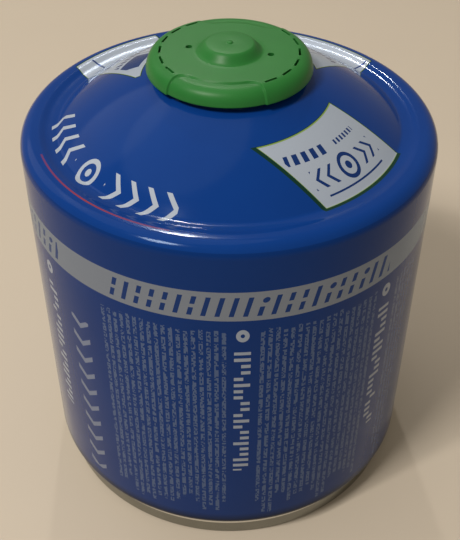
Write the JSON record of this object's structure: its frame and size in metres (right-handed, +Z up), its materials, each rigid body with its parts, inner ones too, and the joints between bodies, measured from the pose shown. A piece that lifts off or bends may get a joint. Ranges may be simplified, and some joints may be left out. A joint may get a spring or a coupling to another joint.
{
  "type": "fuel canister",
  "caption": "Steel valve-type gas cartridge with blue printed body, bare seamed rim, recessed valve cup and a green push-on plastic cap that lifts off",
  "frame": {"origin": "on the can's axis, in the plane that its seamed rim stands on", "axes": "+Z is up along the can's axis, from the rim to the cap; -Y faces the viewer of the picture, and +X is to that viewer's right"},
  "size_m": [0.108, 0.108, 0.1309],
  "materials": {
    "printed_steel": "glossy litho-printed lacquer over steel",
    "tinplate": "bare rolled tinplate",
    "rubber": "matt black rubber",
    "white_plastic": "natural moulded plastic",
    "spring_steel": "drawn wire",
    "green_plastic": "satin moulded plastic"
  },
  "bodies": {
    "can": {"body": "printed_steel", "bottom_end": "tinplate", "cup_gasket": "rubber", "valve_cup": "tinplate", "valve_seal": "rubber", "valve_housing": "white_plastic", "valve_spring": "spring_steel"},
    "plunger": {"valve_plunger": "white_plastic"},
    "lid": {"cap": "green_plastic"}
  },
  "joints": [
    {"name": "cap_lift", "type": "slide", "parent": "can", "child": "lid", "axis": [0, 0, 1], "range_m": [0, 0.04]},
    {"name": "valve_press", "type": "slide", "parent": "can", "child": "plunger", "axis": [0, 0, -1], "range_m": [0, 0.0015], "stiffness_N_per_m": 600, "deforming": ["valve_spring"]}
  ]
}
